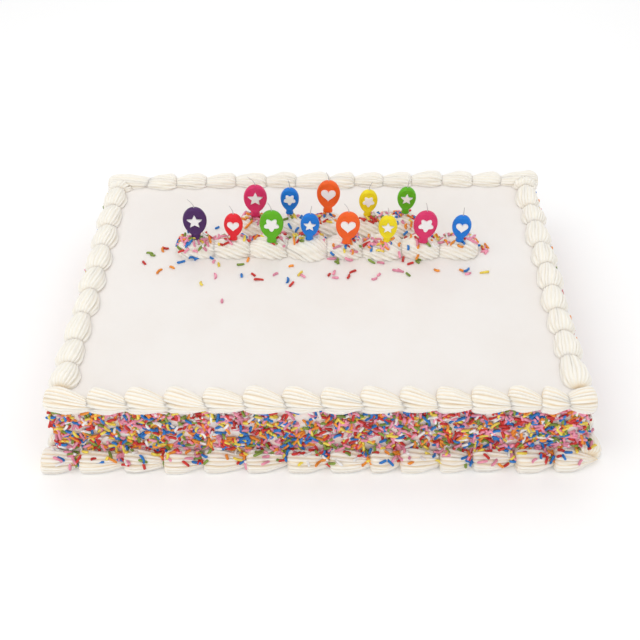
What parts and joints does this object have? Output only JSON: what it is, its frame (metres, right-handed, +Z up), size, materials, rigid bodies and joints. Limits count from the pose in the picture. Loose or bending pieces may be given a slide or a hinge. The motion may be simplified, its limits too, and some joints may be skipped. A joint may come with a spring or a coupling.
{
  "type": "birthday cake with candles",
  "caption": "Rectangular white-iced sheet cake with piped shell borders, sugar strands round its sides and two rows of balloon-shaped candles on picks.",
  "frame": {"origin": "middle of the cake's flat underside", "axes": "+X along the long side, +Y towards the back, +Z up; the candles face -Y"},
  "size_m": [0.4382, 0.3255, 0.1256],
  "materials": {
    "icing": "smooth white icing with sugar strands",
    "piped_icing": "soft piped cream, slightly warm white",
    "wax_purple": "smooth coloured wax with a raised white motif",
    "wax_red": "smooth coloured wax with a raised white motif",
    "wax_green": "smooth coloured wax with a raised white motif",
    "wax_blue": "smooth coloured wax with a raised white motif",
    "wax_orange": "smooth coloured wax with a raised white motif",
    "wax_yellow": "smooth coloured wax with a raised white motif",
    "wax_pink": "smooth coloured wax with a raised white motif",
    "pick_plastic": "smooth, milky",
    "wick_thread": "waxed cotton thread"
  },
  "bodies": {
    "root": {"iced_cake": "icing", "top_border_front": "piped_icing", "top_border_back": "piped_icing", "top_border_left": "piped_icing", "top_border_right": "piped_icing", "base_border_front": "piped_icing", "base_border_back": "piped_icing", "base_border_left": "piped_icing", "base_border_right": "piped_icing", "mound_front": "piped_icing", "mound_back": "piped_icing", "candle_01": "wax_purple", "pick_01": "pick_plastic", "wick_01": "wick_thread", "candle_02": "wax_red", "pick_02": "pick_plastic", "wick_02": "wick_thread", "candle_03": "wax_green", "pick_03": "pick_plastic", "wick_03": "wick_thread", "candle_04": "wax_blue", "pick_04": "pick_plastic", "wick_04": "wick_thread", "candle_05": "wax_orange", "pick_05": "pick_plastic", "wick_05": "wick_thread", "candle_06": "wax_yellow", "pick_06": "pick_plastic", "wick_06": "wick_thread", "candle_07": "wax_pink", "pick_07": "pick_plastic", "wick_07": "wick_thread", "candle_08": "wax_blue", "pick_08": "pick_plastic", "wick_08": "wick_thread", "candle_09": "wax_pink", "pick_09": "pick_plastic", "wick_09": "wick_thread", "candle_10": "wax_blue", "pick_10": "pick_plastic", "wick_10": "wick_thread", "candle_11": "wax_orange", "pick_11": "pick_plastic", "wick_11": "wick_thread", "candle_12": "wax_yellow", "pick_12": "pick_plastic", "wick_12": "wick_thread", "candle_13": "wax_green", "pick_13": "pick_plastic", "wick_13": "wick_thread"}
  },
  "joints": []
}
